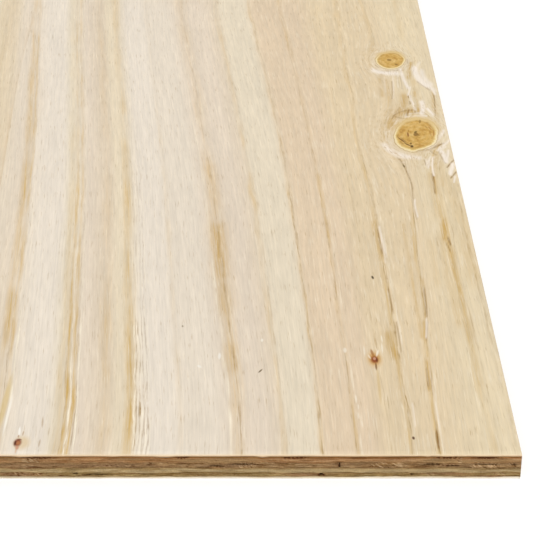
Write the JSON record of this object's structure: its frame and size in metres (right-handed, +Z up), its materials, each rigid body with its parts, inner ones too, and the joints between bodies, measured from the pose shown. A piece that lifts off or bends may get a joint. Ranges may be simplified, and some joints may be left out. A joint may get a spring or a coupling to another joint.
{
  "type": "plywood sheet",
  "caption": "Flat rectangular softwood plywood sheet built up of cross-laid veneers, with pale knotty faces and layered sawn edges.",
  "frame": {"origin": "centre of the underside, where the sheet lies on a level surface", "axes": "+X across the grain of the face, +Y along the grain of the face and the sheet's length, +Z up through the plies"},
  "size_m": [1.22, 2.44, 0.018],
  "materials": {
    "face_veneer": "sanded pine, matte",
    "crossband_upper": "sawn, matte",
    "core_upper": "sawn end grain, matte",
    "core_lower": "sawn end grain, matte",
    "crossband_lower": "sawn, matte",
    "back_veneer": "unsanded pine, matte"
  },
  "bodies": {
    "root": {"face_veneer": "face_veneer", "crossband_upper": "crossband_upper", "core_upper": "core_upper", "core_lower": "core_lower", "crossband_lower": "crossband_lower", "back_veneer": "back_veneer"}
  },
  "joints": []
}
